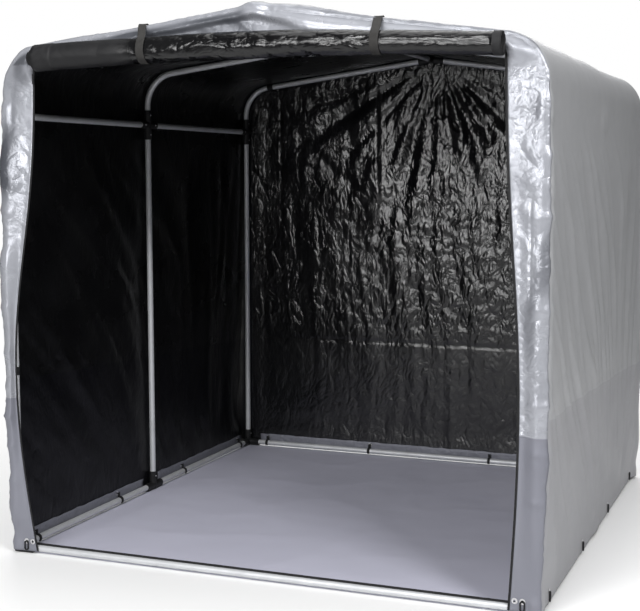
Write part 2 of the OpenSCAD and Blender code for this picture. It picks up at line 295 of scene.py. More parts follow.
def placeGroup(tree, group, vector, **values):
    node = addNode(tree, "ShaderNodeGroup", node_tree=group)
    feed(tree, node.inputs["Vector"], vector)
    for label, value in values.items():
        feed(tree, node.inputs[label], value)
    return node.outputs[0]


def bumpChain(tree, shader, layers):
    # layers of (height socket, distance in metres, strength), the last one nearest the shader
    last = None
    for height, distance, strength in layers:
        bump = addNode(tree, "ShaderNodeBump")
        bump.inputs["Distance"].default_value = distance
        bump.inputs["Strength"].default_value = strength
        feed(tree, bump.inputs["Height"], height)
        if last:
            tree.links.new(last.outputs[0], bump.inputs["Normal"])
        last = bump
    tree.links.new(last.outputs[0], shader.inputs["Normal"])


def sheetMaterial(name, colour, worn, rough, roughSpan, specular, relief, strength, crumpleScale, marksScale,
                  way, level, lowerColour, lowerRough, deep=(0, 0, 0, 1), metal=0.0, lowerMetal=0.0,
                  stretch=(1, 1, 1), pitch=2100.0, weave=0.0001, soft=0.004):
    # lower is the panel past the seam, with its own colour, roughness and shine
    material, tree, shader = newMaterial(name)
    at = addNode(tree, "ShaderNodeUVMap", uv_map="flat").outputs[0]
    place = addNode(tree, "ShaderNodeTexCoord").outputs["Object"]
    busy = addNode(tree, "ShaderNodeAttribute", attribute_name="busy").outputs["Fac"]
    paintedShade = addNode(tree, "ShaderNodeAttribute", attribute_name="paintedShade").outputs["Fac"]
    folds = placeGroup(tree, crumple, vectorMaths(tree, "MULTIPLY", at, stretch)[0], Scale=crumpleScale)
    folds = maths(tree, "MULTIPLY", folds, busy)
    threads = placeGroup(tree, scrim, at, Pitch=pitch)
    marks = placeGroup(tree, handling, at, Scale=marksScale)
    lower = placeGroup(tree, panels, place, Way=way, Level=level, Soft=soft)
    # deep is a darker colour for painted shade, blended in by the attribute read above
    upper = blendColour(tree, paintedShade, blendColour(tree, marks, colour, worn), deep)
    feed(tree, shader.inputs["Base Color"], blendColour(tree, lower, upper, lowerColour))
    rough = maths(tree, "MULTIPLY_ADD", marks, roughSpan, rough)
    feed(tree, shader.inputs["Roughness"], maths(tree, "MULTIPLY_ADD", lower, lowerRough, rough))
    if metal:
        feed(tree, shader.inputs["Metallic"], maths(tree, "MULTIPLY_ADD", lower, lowerMetal, metal))
    shader.inputs["Specular IOR Level"].default_value = specular
    bumpChain(tree, shader, [(folds, relief, strength), (threads, weave, 0.5)])
    return material


# the seam round the walls, sloping a little to the rear
wallSeam = {"way": (0, 0.045, 1), "level": 0.60}
silverWall = sheetMaterial(
    "silverWall", colour=(0.385, 0.39, 0.403, 1), worn=(0.352, 0.357, 0.369, 1),
    rough=0.45, roughSpan=0.10, metal=0.16, specular=0.35, marksScale=5.0,
    relief=0.006, strength=0.30, crumpleScale=0.5, stretch=(1, 0.4, 1),
    lowerColour=(0.318, 0.319, 0.336, 1), lowerRough=0.04, lowerMetal=-0.1, **wallSeam)
# its deep colour is painted shade on the front panel
silverFront = sheetMaterial(
    "silverFront", colour=(0.36, 0.37, 0.405, 1), worn=(0.30, 0.308, 0.34, 1), deep=(0.085, 0.09, 0.104, 1),
    rough=0.25, roughSpan=0.14, metal=0.28, specular=0.5, marksScale=9.0,
    relief=0.009, strength=0.78, crumpleScale=0.72, way=(0, 0, 1), level=0.588,
    lowerColour=(0.18, 0.184, 0.216, 1), lowerRough=0.24, lowerMetal=-0.15)
blackFilm = sheetMaterial(
    "blackFilm", colour=(0.0035, 0.0035, 0.0042, 1), worn=(0.006, 0.006, 0.007, 1),
    rough=0.10, roughSpan=0.10, specular=0.62, marksScale=4.0,
    relief=0.0055, strength=0.9, crumpleScale=1.1, stretch=(1, 0.5, 1),
    lowerColour=(0.004, 0.004, 0.005, 1), lowerRough=0.05, **wallSeam)
wallFilm = sheetMaterial(
    "wallFilm", colour=(0.003, 0.003, 0.0034, 1), worn=(0.005, 0.005, 0.0055, 1),
    rough=0.24, roughSpan=0.12, specular=0.27, marksScale=4.0,
    relief=0.008, strength=0.9, crumpleScale=1.0, stretch=(1, 0.5, 1),
    lowerColour=(0.003, 0.003, 0.004, 1), lowerRough=0.08, **wallSeam)
doorBlack = sheetMaterial(
    "doorBlack", colour=(0.003, 0.003, 0.0035, 1), worn=(0.005, 0.005, 0.0055, 1),
    rough=0.11, roughSpan=0.10, specular=0.46, marksScale=3.0,
    relief=0.008, strength=0.9, crumpleScale=0.8, stretch=(0.6, 1, 1), way=(1, 0, 0), level=-0.44, soft=0.08,
    lowerColour=(0.003, 0.003, 0.004, 1), lowerRough=0.40)
groundSheet = sheetMaterial(
    "groundSheet", colour=(0.575, 0.575, 0.685, 1), worn=(0.51, 0.51, 0.61, 1),
    rough=0.44, roughSpan=0.12, specular=0.4, marksScale=2.5,
    relief=0.003, strength=0.15, crumpleScale=0.4, pitch=1500.0, way=(0, 1, 0), level=0.02,
    lowerColour=(0.55, 0.55, 0.655, 1), lowerRough=0.02)


def solidMaterial(name, colour, worn, rough, marksScale, grainScale, grain,
                  roughSpan=0.2, metal=0.0, specular=0.25, grainStretch=(1, 1, 1)):
    # rigid pieces: colour that varies a little, roughness that follows it, and a fine grain
    material, tree, shader = newMaterial(name)
    at = addNode(tree, "ShaderNodeTexCoord").outputs["Object"]
    marks = placeGroup(tree, handling, at, Scale=marksScale)
    feed(tree, shader.inputs["Base Color"], blendColour(tree, marks, colour, worn))
    feed(tree, shader.inputs["Roughness"], maths(tree, "MULTIPLY_ADD", marks, roughSpan, rough))
    shader.inputs["Metallic"].default_value = metal
    shader.inputs["Specular IOR Level"].default_value = specular
    grainAt = vectorMaths(tree, "MULTIPLY", at, grainStretch)[0]
    grit = noiseNode(tree, grainAt, grainScale).outputs[0]
    bumpChain(tree, shader, [(grit, grain, 0.5)])
    return material


steelTube = solidMaterial(
    "steelTube", colour=(0.60, 0.61, 0.63, 1), worn=(0.52, 0.53, 0.55, 1), rough=0.42, roughSpan=0.16,
    metal=0.35, specular=0.5, marksScale=14.0, grainScale=420.0, grain=0.00025)
jointPlastic = solidMaterial(
    "jointPlastic", colour=(0.010, 0.010, 0.011, 1), worn=(0.022, 0.022, 0.023, 1), rough=0.42,
    roughSpan=0.16, marksScale=30.0, grainScale=1300.0, grain=0.0004)
eyeletMetal = solidMaterial(
    "eyeletMetal", colour=(0.72, 0.72, 0.73, 1), worn=(0.55, 0.55, 0.56, 1), rough=0.24, roughSpan=0.22,
    metal=1.0, specular=0.5, marksScale=90.0, grainScale=1500.0, grain=0.0001)
elasticCord = solidMaterial(
    "elasticCord", colour=(0.008, 0.008, 0.009, 1), worn=(0.020, 0.020, 0.021, 1), rough=0.62,
    marksScale=120.0, grainStretch=(1, 1, 0.5), grainScale=1100.0, grain=0.0009)
zipBlack = solidMaterial(
    "zipBlack", colour=(0.010, 0.010, 0.011, 1), worn=(0.020, 0.020, 0.021, 1), rough=0.55,
    marksScale=60.0, grainStretch=(1, 1, 0.6), grainScale=1400.0, grain=0.0005)

# woven strap: slanted ribs that change direction at the middle, drawn on the strap's own flat size
woven = {"colour": (0.030, 0.029, 0.0278, 1), "worn": (0.039, 0.0375, 0.036, 1),
         "deep": (0.014, 0.013, 0.012, 1), "rough": 0.72, "specular": 0.3, "marksScale": 40.0,
         "ribs": 2600.0, "threads": 4200.0, "relief": 0.0003}
webbing, tree, shader = newMaterial("webbing")
at = addNode(tree, "ShaderNodeUVMap", uv_map="flat").outputs[0]
parts = addNode(tree, "ShaderNodeSeparateXYZ")
feed(tree, parts.inputs[0], at)
slant = maths(tree, "ADD", maths(tree, "ABSOLUTE", parts.outputs[0]), parts.outputs[1])
ribs = maths(tree, "SINE", maths(tree, "MULTIPLY", slant, woven["ribs"]))
cross = maths(tree, "SINE", maths(tree, "MULTIPLY", parts.outputs[0], woven["threads"]))
marks = placeGroup(tree, handling, at, Scale=woven["marksScale"])
base = blendColour(tree, marks, woven["colour"], woven["worn"])
share = maths(tree, "MULTIPLY_ADD", ribs, 0.25, 0.25)
feed(tree, shader.inputs["Base Color"], blendColour(tree, share, base, woven["deep"]))
shader.inputs["Roughness"].default_value = woven["rough"]
shader.inputs["Specular IOR Level"].default_value = woven["specular"]
bumpChain(tree, shader, [(maths(tree, "ADD", ribs, cross), woven["relief"], 0.6)])
print("materials made")

# cover over the roof and both sides
# here and below, the factors inside wave and crease are per metre, and their third value picks the noise
cover = {
    "roofSag": 0.020, "frontTight": 0.85, "rearTight": 0.55, "roofCrease": 0.0022, "roofWave": 0.0016,
    "rimPuff": 0.010, "rimX": 0.165, "rimW": 0.14, "frontPuff": 0.020, "sidePuff": 0.006,
    "bellyZ": (0.02, 1.64), "rearFlare": 0.014, "cornerFlare": 0.013, "jointLump": 0.0068, "middleLump": 0.7,
    "seamZ": 0.60, "seamLean": 0.045, "seamWave": 0.004, "seamRise": 0.0020, "seamW": 0.006,
    "ties": (-0.885, -0.285, 0.285, 0.885), "busy": 0.35, "endStrip": 0.05,
}
drape = {
    "broad": 0.0120, "soft": 0.0046, "ridge": 0.0082, "line": 0.0054, "lowBroad": 0.0080, "lowSoft": 0.0028,
    "lowZ": (0.55, 1.15), "calmZ": (1.42, 1.57), "calm": 0.85,
}


def wallFolds(y, z, side):
    # soft creases that fan from the upper front to the lower rear, over long shallow hollows
    lean = 0.75 * (1 - 1.3 * ease(-0.3, 0.9, y)) + 0.25 * wave(y * 1.1, z, 11.0 + side)
    across, down = y + lean * (z - 0.95), z - 0.4 * lean * y
    soft = drape["broad"] * wave(across * 3.2, down * 0.8, side * 5.0)
    soft += drape["soft"] * wave(across * 9, down * 1.5, 7.0 + side)
    lines = drape["ridge"] * crease(across * 4.2, down * 0.8, 2.0 + side, 9)
    lines += drape["line"] * crease(across * 9, down * 1.2, 4.0 + side, 8)
    low = drape["lowBroad"] * wave(across * 7, down * 0.7, 12.0 + side)
    low += drape["lowSoft"] * wave(across * 17, down * 1.2, 15.0 + side)
    soft += fade(*drape["lowZ"], z) * low
    return (soft + lines) * (1 - drape["calm"] * ease(*drape["calmZ"], z))


def roofOff(x, y, t, span):
    # sag between the hoops, tighter towards the eaves, and a rim that puffs up over the front hoop
    tight = cover["frontTight" if y < 0 else "rearTight"]
    held = ease(0.03, 0.38, abs(x)) * (1 - tight * ease(0.50, 0.84, abs(x)))
    held *= fade(slopeL - 0.02, slopeL + bendL * 0.7, t)
    off = -cover["roofSag"] * span * held * (1 + 0.3 * wave(x * 2.1, y * 2.3, 3.1))
    off += cover["roofCrease"] * span * held * crease(x * 5 + y * 2.5, y * 3.5 - x, 4.2)
    off += cover["roofWave"] * wave(x * 7, y * 5, 8.8) * (0.25 + 0.75 * span)
    rim = 1.4 * bell(x - cover["rimX"], cover["rimW"])
    rim += 0.9 * fade(-0.72, -0.48, x) * ease(-0.97, -0.88, x)
    return off + cover["rimPuff"] * rim * fade(-0.99, -0.80, y)


def wallOff(y, z, side):
    # belly of a wall, its flare at the rear, its folds and the raised seam
    hang = ease(0.035, 0.20, z)
    nearFront, nearRear = fade(-0.98, -0.55, y), ease(0.45, 1.0, y)
    low, high = cover["bellyZ"]
    belly = sin(pi * clamp((z - low) / (high - low))) ** 0.8 if low < z < high else 0.0
    off = hang * (cover["frontPuff"] * nearFront + cover["sidePuff"] * (1 - nearFront)) * belly
    off += ease(0.02, 0.25, z) * fade(0.3, 1.3, z) * cover["rearFlare"] * nearRear
    off += hang * wallFolds(y, z, side)
    seamAt = cover["seamZ"] - cover["seamLean"] * y + cover["seamWave"] * wave(y * 3, 1.0, side)
    return off + cover["seamRise"] * bell(z - seamAt, cover["seamW"])


def coverPuff(s, y):
    # how far the sheet stands off its plain run, in metres
    x, z, nx, nz = archAt(s)
    t, side = abs(s), (1 if s >= 0 else -1)
    bay = clamp((y + halfD) / halfD, 0.0, 2.0)
    bay = bay - 1 if bay >= 1 else bay
    span = sin(pi * bay) ** 0.75 if 0 < bay < 1 else 0.0
    off = roofOff(x, y, t, span) if t < roofL + 0.10 else 0.0
    low = ease(roofL - 0.06, roofL + 0.16, t)
    if low > 0:
        off += low * wallOff(y, z, side)
    nearHoop = fade(0.012, 0.06, min(abs(y - h) for h in (-halfD, 0.0, halfD)))
    return off + nearHoop * max(0.0, -off)


def jointLump(s, y):
    # the sheet stands out a little more where it passes over a hoop's socket joints
    x, z, nx, nz = archAt(s)
    near = fade(0.036, 0.075, z)
    if abs(s) > slopeL:
        near = max(near, fade(0.022, 0.060, abs(z - eaveZ)))
    else:
        near = max(near, fade(0.020, 0.060, abs(x)))
    outer = fade(0.012, 0.045, halfD - abs(y))
    middle = cover["middleLump"] * fade(0.035, 0.090, abs(y))
    return cover["jointLump"] * near * max(outer, middle)


def cornerFlare(s, y):
    # both rear corners kick out at the hem, behind the last eyelet
    x, z, nx, nz = archAt(s)
    return cover["cornerFlare"] * ease(0.915, 0.985, y) * fade(0.06, 0.34, z)


def coverAt(s, w):
    # w runs from front to rear, and a quarter turn round the outer hoops at both ends
    x, z, nx, nz = archAt(s)
    y = clamp(w, -halfD, halfD)
    out = sheetOut + coverPuff(s, y) + jointLump(s, y)
    turn = max(0.0, abs(w) - halfD) / sheetOut
    lift = (out + cornerFlare(s, y)) * cos(turn)
    return Vector((x + nx * lift, y + copysign(out * sin(turn), w), z + nz * lift))


wrapL = sheetOut * pi / 2
stripY = halfD - cover["endStrip"]
coverAcross = spread([(-archL, 0), (-roofL, 80), (roofL, 140), (archL, 128)])
coverAlong = spread([(-halfD - wrapL, 0), (-halfD, 5), (-stripY, 4), (stripY, 104),
                     (halfD, 4), (halfD + wrapL, 5)])
bm = newSheet(coverAcross, coverAlong, coverAt, lambda c: Vector((c.x, 0, (c.z - 1.3) * 1.2)),
              flatAt=lambda s, w: (w, s), busyAt=lambda c: cover["busy"])
for side in (-1, 1):
    for y in cover["ties"]:
        cutHole(bm, Vector((side * (halfW + sheetOut), y, cloth["eyeletZ"])), cloth["hole"], 0)
mainCover = newPiece("mainCover", bm, [silverWall, wallFilm],
                     ["left_wall", "right_wall", "left_roof", "right_roof"])
thicken(mainCover, cloth["thick"], -1.0, 1, 0)
print("main cover made:", len(mainCover.data.polygons), "faces")

# rear wall
rear = {
    "pleat": 0.0046, "crinkle": 0.0026, "tension": 0.0015, "rest": 0.006, "ramp": 0.011,
    "fan": 0.010, "fanX": 0.03, "fanZ": 1.97, "seamZ": 0.575, "seamRise": 0.0022, "seamW": 0.008,
    "seamWave": 0.008, "sideSeamX": -0.80, "sideSeamRise": 0.0025, "sideSeamW": 0.006,
    "ties": (-0.875, -0.312, 0.312, 0.875), "height": 1.95, "area": 3.69,
}


def rearBands(x, z):
    # smooth bands pulled tight from the upper left corner, 0 to 1
    along, over = x * 0.83 - z * 0.56, x * 0.56 + z * 0.83
    taut = ease(-0.98, -0.80, x) * fade(-0.30, -0.02, x) * ease(0.70, 1.0, z)
    return taut * crease(over * 4.2 + 0.15 * wave(x * 3, z * 3, 8.0), along * 0.6, 3.0, 4)


def rearBusy(c):
    upper = ease(rear["seamZ"] - 0.02, rear["seamZ"] + 0.10, c.z)
    busy = (0.75 + 0.25 * ease(-0.50, -0.12, c.x)) * (0.55 + 0.45 * upper)
    return busy * (1 - 0.45 * rearBands(c.x, c.z))


def rearOff(x, z, edge):
    # edge is the distance to the hoop's line; positive stands out to the rear
    free = ease(0.02, 0.12, edge) * ease(0.03, 0.16, z)
    upper = ease(rear["seamZ"] - 0.02, rear["seamZ"] + 0.15, z)
    bands = rearBands(x, z)
    busy = (0.60 + 0.40 * ease(-0.50, -0.12, x)) * (1 - 0.55 * bands)
    bend = 0.07 * wave(x * 1.7, z * 1.3, 2.0)
    pleats = wave((x + bend) * 13, z * 1.3, 0.5) + 0.75 * wave((x + bend) * 29, z * 2.6, 1.5)
    off = rear["pleat"] * (0.45 + 0.55 * upper) * busy * pleats
    crinkles = crease(x * 17 + wave(x * 6, z * 6), z * 13, 5.5, 2.2) - 0.55
    crinkles += 0.7 * (crease(x * 33, z * 25 + wave(x * 9, z * 9), 9.5, 2.0) - 0.55)
    off += rear["crinkle"] * crinkles * (0.35 + 0.65 * upper) * busy
    off += rear["tension"] * bands
    ramp = ease(-0.46, -0.285, x) * fade(-0.283, -0.262, x + 0.012 * wave(z * 4, 3.0))
    off -= rear["ramp"] * ramp * ease(1.15, 1.40, z)
    aside, down = x - rear["fanX"], rear["fanZ"] - z
    fan, reach = atan2(aside, down), hypot(aside, down)
    fanned = ease(0.08, 0.22, reach) * fade(0.55, 1.1, reach)
    off += rear["fan"] * fanned * wave(fan * 8, reach * 1.2, 6.0)
    seamAt = rear["seamZ"] + rear["seamWave"] * wave(x * 2.5, 4.0)
    off += rear["seamRise"] * bell(z - seamAt, rear["seamW"])
    off += rear["sideSeamRise"] * bell(x - rear["sideSeamX"], rear["sideSeamW"]) * ease(0.9, 1.2, z)
    return free * (off + rear["rest"])


def archTop(x):
    # height of the hoop's line above x
    x = abs(x)
    flatEnd = slopeL * cos(roofPitch)
    if x <= flatEnd:
        return ridgeZ - x * tan(roofPitch)
    gap = min(bendR, x - bendX)
    return bendZ + sqrt(max(0.0, bendR ** 2 - gap ** 2))


def rearSpot(u, v):
    # place in the wall's own plane; u runs across from -1 to 1, v from hem to arch, 0 to 1
    x = u * halfW
    return x, hemZ + (archTop(x) - hemZ) * v


def rearAt(u, v):
    x, z = rearSpot(u, v)
    edge = min(halfW - abs(x), archTop(x) - z)
    return Vector((x, rearY + rearOff(x, z, edge), z))


rearAcross = spread([(-1.0, 0), (-0.86, 14), (0.86, 180), (1.0, 14)])
rearAlong = spread([(0.0, 0), (1.0, 210)])
bm = newSheet(rearAcross, rearAlong, rearAt, lambda c: Vector((0, 1, 0)), flatAt=rearSpot, busyAt=rearBusy)
for x in rear["ties"]:
    cutHole(bm, Vector((x, rearY, cloth["eyeletZ"])), cloth["hole"], 1)
rearWall = newPiece("rearWall", bm, [silverWall, blackFilm], ["back_wall"])
thicken(rearWall, cloth["thick"], -1.0, 1, 0)
print("rear wall made:", len(rearWall.data.polygons), "faces")

# front panel: gable and both flaps in one strip round the arch
front = {
    "lap": radians(38), "lapOut": 0.0012, "pucker": 0.0040, "rim": 0.009, "recess": 0.0146,
    "bulge": 0.012, "gableWave": 0.0045, "gableZ": 1.74, "flapWave": 0.0032, "flapCrease": 0.0026,
    "flapFine": 0.0012, "seamZ": 0.588, "seamRise": 0.0016, "seamW": 0.006, "foldX": 0.952,
    "foldDeep": 0.0028, "foldW": 0.004, "crossZ": 1.335, "crossDeep": 0.0022, "shadedFoldZ": 1.43,
    "shadedFoldH": 0.12, "headShare": 0.99, "search": 0.0005,
    "eyelets": (0.042, 0.068), "width": 0.20, "area": 0.66,
}


def innerEdge(s):
    # where the strip ends at the doorway, straight inwards from the hoop's line
    x, z, nx, nz = archAt(s)
    side, t = (1 if s >= 0 else -1), abs(s)
    if t < slopeL:
        return x * front["headShare"], door["top"]
    if t < roofL:
        a = atan2(nz, abs(nx))
        step = 0.0
        while step < bendR:
            r = bendR - step
            px, pz = bendX + r * cos(a), bendZ + r * sin(a)
            if pz < door["top"] and px < doorEdge(pz, side):
                break
            step += front["search"]
        return side * px, pz
    return side * doorEdge(z, side), z


def flapFold(px, pz, v, side):
    # crinkled above the seam, nearly smooth below it
    shine = ease(front["seamZ"] - 0.01, front["seamZ"] + 0.02, pz)
    body = sin(pi * clamp(v * 0.9 + 0.1))
    fold = front["flapWave"] * (0.5 + 0.5 * shine) * wave(px * 8, pz * 3.5, 1.0 + side)
    sharp = crease(px * 7 + 1.5 * wave(px * 5, pz * 5, 2.0), pz * 15 + px * 6, 2.0 + side, 3) - 0.45
    fold += shine * front["flapCrease"] * sharp
    fold += shine * front["flapFine"] * wave(px * 34, pz * 30, 6.0)
    if side > 0:
        upright = bell(px - front["foldX"], front["foldW"])
        fold -= front["foldDeep"] * upright * ease(1.00, 1.06, pz) * fade(1.30, 1.34, pz)
        level = bell(pz - front["crossZ"], front["foldW"])
        fold -= front["crossDeep"] * level * fade(0.950, 0.965, px)
    seam = front["seamRise"] * bell(pz - front["seamZ"], front["seamW"])
    return ease(0.035, 0.20, pz) * (body * fold + seam)


def gableOff(px, pz, v, inward, out):
    # bulged on the right, hollow left of the middle, with a rim along the hoop
    recess = ease(-0.62, -0.38, px) * fade(0.0, 0.22, px)
    swell = sin(pi * clamp(v))
    off = out + front["rim"] * sin(pi * clamp(inward / (0.06 - 0.03 * recess)))
    off += (front["recess"] - out) * recess * ease(0.012, 0.045, inward)
    off += (sheetOut - out) * (1 - recess) * ease(0.3, 1.0, v) + front["bulge"] * (1 - recess) * swell
    ripple = 0.8 * wave(px * 6, pz * 9, 3.0) + 0.4 * wave(px * 21, pz * 17, 5.0)
    ripple += 1.6 * bell(px + 0.02, 0.20) * (crease((px + pz) * 7.5, (px - pz) * 1.5, 6.0, 5) - 0.3)
    return off + front["gableWave"] * swell * ripple


def lapAt(s, v, out):
    # the lap over the hoop, puckered and a little uneven at its edge
    x, z, nx, nz = archAt(s)
    lap = front["lap"] + 0.20 * wave(s * 9, 2.0) + 0.10 * wave(s * 31, 5.0)
    turn = pi / 2 + v * (pi / 2 - lap)
    pucker = front["pucker"] * -v * max(0.0, crease(s * 24, v * 1.5, 3.0, 2) - 0.35)
    around = out + jointLump(s, -halfD) + pucker
    lift = around * cos(turn)
    return Vector((x + nx * lift, -halfD - around * sin(turn), z + nz * lift))


def frontAt(s, v):
    # v runs from the hoop's front, 0, to the doorway, 1, and below 0 back over the hoop
    x, z, nx, nz = archAt(s)
    out = sheetOut + coverPuff(s, -halfD) + front["lapOut"]
    if v < 0:
        return lapAt(s, v, out)
    ix, iz = innerEdge(s)
    px, pz = x + (ix - x) * v, z + (iz - z) * v
    inward = v * hypot(ix - x, iz - z)
    lump = jointLump(s, -halfD) * fade(0.004, 0.030, inward)
    flap = sheetOut + (out - sheetOut) * fade(0.0, 0.9, v) + flapFold(px, pz, v, 1 if s >= 0 else -1)
    gable = gableOff(px, pz, v, inward, out)
    share = ease(slopeL + bendL * 0.25, slopeL + bendL * 0.75, abs(s))
    depth = max(front["recess"] - 0.0006, gable + (flap - gable) * share)
    return Vector((px, -halfD - depth - lump, pz))


def frontFlat(s, v):
    x, z, nx, nz = archAt(s)
    ix, iz = innerEdge(s)
    return s, (v * hypot(ix - x, iz - z) if v > 0 else v * wrapL)


def frontBusy(c):
    shine = ease(front["seamZ"] - 0.005, front["seamZ"] + 0.005, c.z)
    patch = 0.35 + 0.65 * ease(-0.25, 0.25, wave(c.x * 9, c.z * 2.6, 4.0))
    patch *= 0.55 if c.x < 0 else 1.0
    return (0.10 + 0.90 * shine * patch) if c.z < front["gableZ"] else 0.30


def frontPaintedShade(c):
    # painted shade: in a fold on the left flap, in soft patches over both flaps, over the gable left of the
    # middle and its hollow, where streaks stand for painted reflections, and in a painted shadow line under
    # the rim on the right
    if c.z < door["top"]:
        fold = 0.8 * bell(c.z - front["shadedFoldZ"], front["shadedFoldH"]) * fade(-0.985, -0.958, c.x)
        return min(1.0, fold + 0.6 * ease(0.1, 0.5, wave(c.x * 11, c.z * 3.1, 7.0)))
    below = (archTop(c.x) - c.z) * cos(roofPitch)
    hollow = ease(-0.56, -0.44, c.x) * fade(0.00, 0.06, c.x + 0.9 * (c.z - 1.88))
    # horizontal streaks in the painted shade of the hollow, standing for painted reflections
    streak = 0.95 + 0.4 * wave(c.x * 3, c.z * 42, 5.0)
    left = 0.85 * fade(-0.5, -0.4, c.x) + (streak - 0.1) * hollow
    left *= fade(0.02, 0.20, c.x) * ease(-0.010, 0.008, below)
    return left + 0.55 * ease(0.05, 0.3, c.x) * fade(-0.004, 0.022, below)


frontAcross = spread([(-archL, 0), (-roofL, 180), (roofL, 250), (archL, 180)])
frontAlong = spread([(-1.0, 0), (0.0, 6), (1.0, 24)])
bm = newSheet(frontAcross, frontAlong, frontAt, lambda c: Vector((0, -1, 0)),
              flatAt=frontFlat, busyAt=frontBusy, paintedShadeAt=frontPaintedShade)
for side in (-1, 1):
    for d in front["eyelets"]:
        eyelet = Vector((side * (halfW - d), frontY, cloth["eyeletZ"]))
        cutHole(bm, eyelet, cloth["hole"], 1)
frontPanel = newPiece("frontPanel", bm, [silverFront, blackFilm],
                      ["front_gable", "left_front_flap", "right_front_flap"])
thicken(frontPanel, cloth["thick"], -1.0, 1, 0)
print("front panel made:", len(frontPanel.data.polygons), "faces")

# ground sheet, its edges under the middle of the base rails
ground = {"wrinkle": 0.0045, "short": 0.003, "rest": 0.0014, "thick": 0.0012, "steps": 110}


def groundAt(x, y):
    edge = min(halfW - abs(x), halfD - abs(y))
    free = ease(0.03, 0.16, edge)
    lift = 0.5 + 0.5 * wave(x * 2.4, y * 3.2, 1.0)
    lift += 0.5 * crease(x * 2.6 + y * 0.8, y * 2.2 - x * 0.6, 2.0, 5)
    lift += 0.25 * (wave(x * 9, y * 9, 3.0) + 0.5)
    return Vector((x, y, ground["rest"] + ground["wrinkle"] * free * clamp(lift, 0, 1.6)))


groundX, groundY = halfW - ground["short"], halfD - ground["short"]
groundAcross = spread([(-groundX, 0), (groundX, ground["steps"])])
groundAlong = spread([(-groundY, 0), (groundY, ground["steps"])])
bm = newSheet(groundAcross, groundAlong, groundAt, lambda c: Vector((0, 0, 1)))
groundPiece = newPiece("groundSheetPiece", bm, [groundSheet], ["floor_sheet"])
thicken(groundPiece, ground["thick"], -1.0)
print("ground sheet made")

# hems turned up inside the walls
hem = {"height": 0.052, "foot": 0.004, "wave": 0.0024, "edgeWave": 0.004, "edgeFine": 0.003, "step": 0.02,
       "gap": 0.06, "inset": 0.0148, "sideRuns": [(-0.930, -0.065), (0.065, 0.930)],
       "backRuns": [(-0.920, 0.920)]}


def makeHem(name, node, runs, axis, face):
    # face is where the hem lies along its axis, 0 for a side and 1 for the back
    def hemAt(run, h):
        z = hemZ + hem["foot"] + (hem["height"] - hem["foot"]) * h
        z += h * hem["edgeWave"] * wave(run * 7, 1.0, face) + h * hem["edgeFine"] * wave(run * 23, 4.0, face)
        off = face - copysign(hem["wave"] * h * (1 + wave(run * 11, h * 2, face)), face)
        return Vector((off, run, z)) if axis == 0 else Vector((run, off, z))

    across = []
    for start, end in runs:
        across += spread([(start, 0), (end, round((end - start) / hem["step"]))])
    inward = Vector((0, 0, 0))
    inward[axis] = -copysign(1, face)
    bm = newSheet(across, spread([(0.0, 0), (1.0, 4)]), hemAt, lambda c: inward,
                  flatAt=lambda run, h: (run, hemAt(run, h).z))
    between = [f for f in bm.faces if abs(f.calc_center_median().y) < hem["gap"]]
    bmesh.ops.delete(bm, geom=between, context="FACES")
    piece = newPiece(name, bm, [silverFront], [node])
    thicken(piece, cloth["thick"], -1.0)


makeHem("leftHem", "left_hem", hem["sideRuns"], 0, -halfW - hem["inset"])
makeHem("rightHem", "right_hem", hem["sideRuns"], 0, halfW + hem["inset"])
makeHem("backHem", "back_hem", hem["backRuns"], 1, halfD + hem["inset"])
print("hems made")

# rolled door: one sheet wound into a loose roll, its dark inner face outwards
roll = {
    "left": -0.812, "right": 0.866, "y": -1.0652, "z": 1.8165, "midZ": 1.825, "archRise": 0.0205,
    "rightDrop": 0.006, "leftR": 0.0475, "middleR": 0.046, "rightR": 0.037, "fullR": 0.047, "core": 0.011,
    "layer": 0.0042, "straps": (-0.407, 0.443), "dent": 0.0035, "dentW": 0.045, "leftBand": 0.074,
    "leftBandR": 0.0016, "rightBand": 0.028, "rightBandR": 0.0024, "bandEnd": 0.006, "slip": 0.028,
    "soft": 0.0022, "crinkle": 0.0052, "fine": 0.0034, "start": radians(-42), "sidesPerTurn": 22,
    "lead": 0.08, "leadIn": 0.0005, "leadUp": 0.004, "perTurn": 0.26, "thick": 0.0012, "length": 1.72,
    "leftStops": (0.068, 0.084), "rightStops": (0.040, 0.024),
}
rollTurns = (roll["fullR"] - roll["core"]) / roll["layer"]


def rollShare(x):
    return (x - roll["left"]) / (roll["right"] - roll["left"])


def rollRadius(x):
    share = rollShare(x)
    r = roll["leftR"] + (roll["middleR"] - roll["leftR"]) * ease(0, 0.55, share)
    r += (roll["rightR"] - roll["middleR"]) * ease(0.5, 1.0, share)
    for at in roll["straps"]:
        r -= roll["dent"] * bell(x - at, roll["dentW"])
    for band, far in (("leftBand", x - roll["left"]), ("rightBand", roll["right"] - x)):
        r += roll[band + "R"] * fade(roll[band], roll[band] + roll["bandEnd"], far)
    return r


def rollHeight(x):
    share = rollShare(x)
    rise = roll["archRise"] * sin(pi * clamp(share * 0.94)) ** 0.9
    return roll["z"] + rise - roll["rightDrop"] * ease(0.6, 1.0, share)


